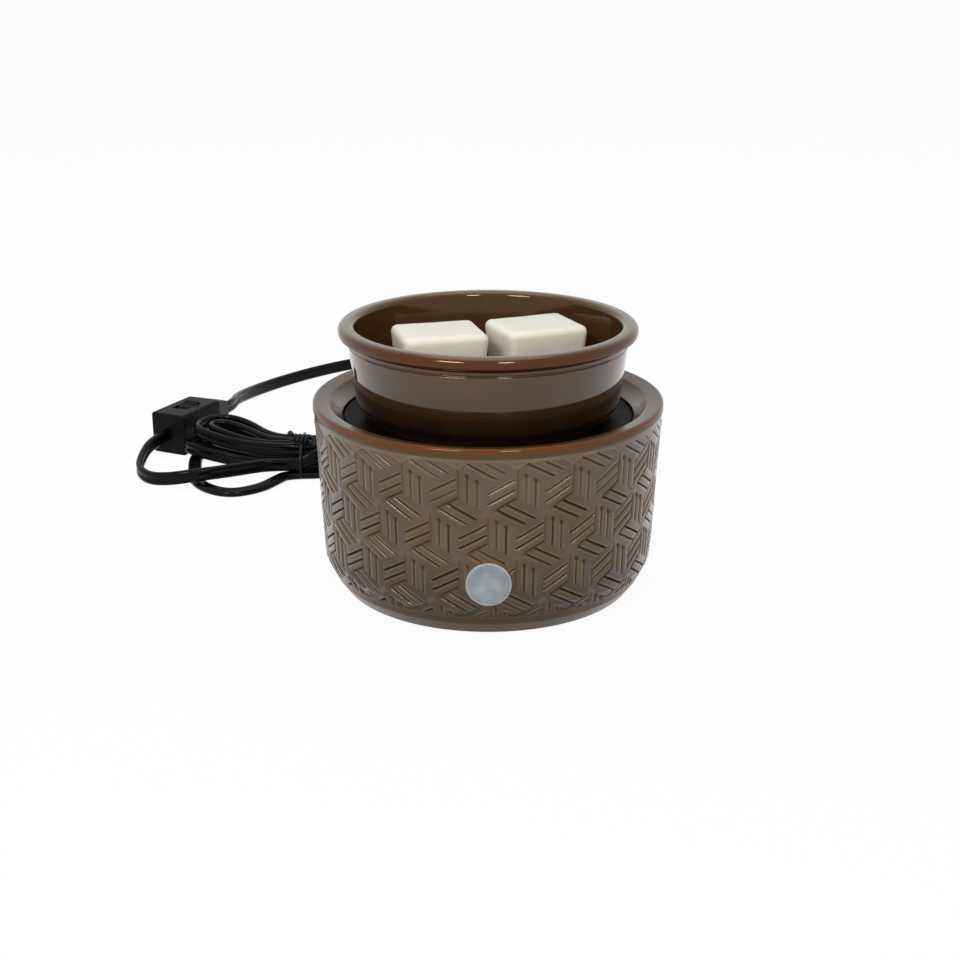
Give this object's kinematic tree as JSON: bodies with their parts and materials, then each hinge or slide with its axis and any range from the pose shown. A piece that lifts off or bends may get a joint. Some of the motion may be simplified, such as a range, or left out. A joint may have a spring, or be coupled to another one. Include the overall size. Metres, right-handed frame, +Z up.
{
  "type": "wax melt warmer",
  "caption": "Round glazed ceramic electric wax warmer with a lift-off dish on a hot plate, an indicator lens, and a flat lead with an inline rocker switch.",
  "frame": {"origin": "on the floor under the middle of the base", "axes": "+Z up, the indicator lens faces -Y, the cord leaves at +Y"},
  "size_m": [0.2085, 0.3488, 0.0924],
  "materials": {
    "glaze": "glossy brown glaze",
    "wax": "cream wax, satin",
    "plate_black": "matte black coating",
    "silicone": "matte silicone",
    "heater": "matte mica",
    "steel": "satin",
    "brass": "satin",
    "cover_plastic": "fine texture",
    "foot_rubber": "matte",
    "lens": "translucent, polished",
    "lamp": "clear",
    "cord_black": "satin vinyl",
    "switch_black": "satin",
    "wire_white": "matte sleeve",
    "tie_black": "satin",
    "blade_metal": "plated"
  },
  "bodies": {
    "base": {"ceramic_base": "glaze", "hot_plate": "plate_black", "plate_gasket": "silicone", "heater_element": "heater", "heater_insulation": "heater", "heater_bracket": "steel", "bracket_nuts": "steel", "thermal_fuse": "steel", "fuse_clip": "steel", "standoff_posts": "steel", "bottom_cover": "cover_plastic", "cover_screws": "steel", "rubber_feet": "foot_rubber", "indicator_lens": "lens", "lens_retainer": "steel", "lamp_holder": "cover_plastic", "indicator_lamp": "lamp", "cord_gland": "cord_black", "gland_ring": "cover_plastic", "inner_cord": "cord_black", "cord_clamp": "cover_plastic", "clamp_cap": "cover_plastic", "clamp_screws": "steel", "terminal_block": "heater", "cord_cores": "wire_white", "heater_lead": "wire_white", "fuse_lead": "wire_white", "fuse_tail": "wire_white", "lamp_leads": "wire_white", "switch_top_shell": "switch_black", "switch_bottom_shell": "switch_black", "switch_screws": "steel", "rocker_pin": "steel", "switch_terminals": "brass", "contact_leaf": "brass", "cord_hank": "cord_black", "twist_tie": "tie_black", "plug_body": "cord_black", "plug_blades": "blade_metal", "cord_lead": "cord_black", "cord_tail": "cord_black", "cord_end": "cord_black"},
    "dish": {"wax_dish": "glaze"},
    "wax_left": {"wax_cube_left": "wax"},
    "wax_right": {"wax_cube_right": "wax"},
    "rocker": {"switch_rocker": "switch_black"}
  },
  "joints": [
    {"name": "dish_lift", "type": "slide", "parent": "base", "child": "dish", "axis": [0, 0, 1], "range_m": [0, 0.08]},
    {"name": "wax_left_lift", "type": "slide", "parent": "dish", "child": "wax_left", "axis": [0, 0, 1], "range_m": [0, 0.05]},
    {"name": "wax_right_lift", "type": "slide", "parent": "dish", "child": "wax_right", "axis": [0, 0, 1], "range_m": [0, 0.05]},
    {"name": "rocker_tip", "type": "hinge", "parent": "base", "child": "rocker", "pos_m": [-0.13376, 0.14759, 0.0159], "axis": [-0.9026, 0.4305, 0], "range_deg": [0, 20]}
  ]
}
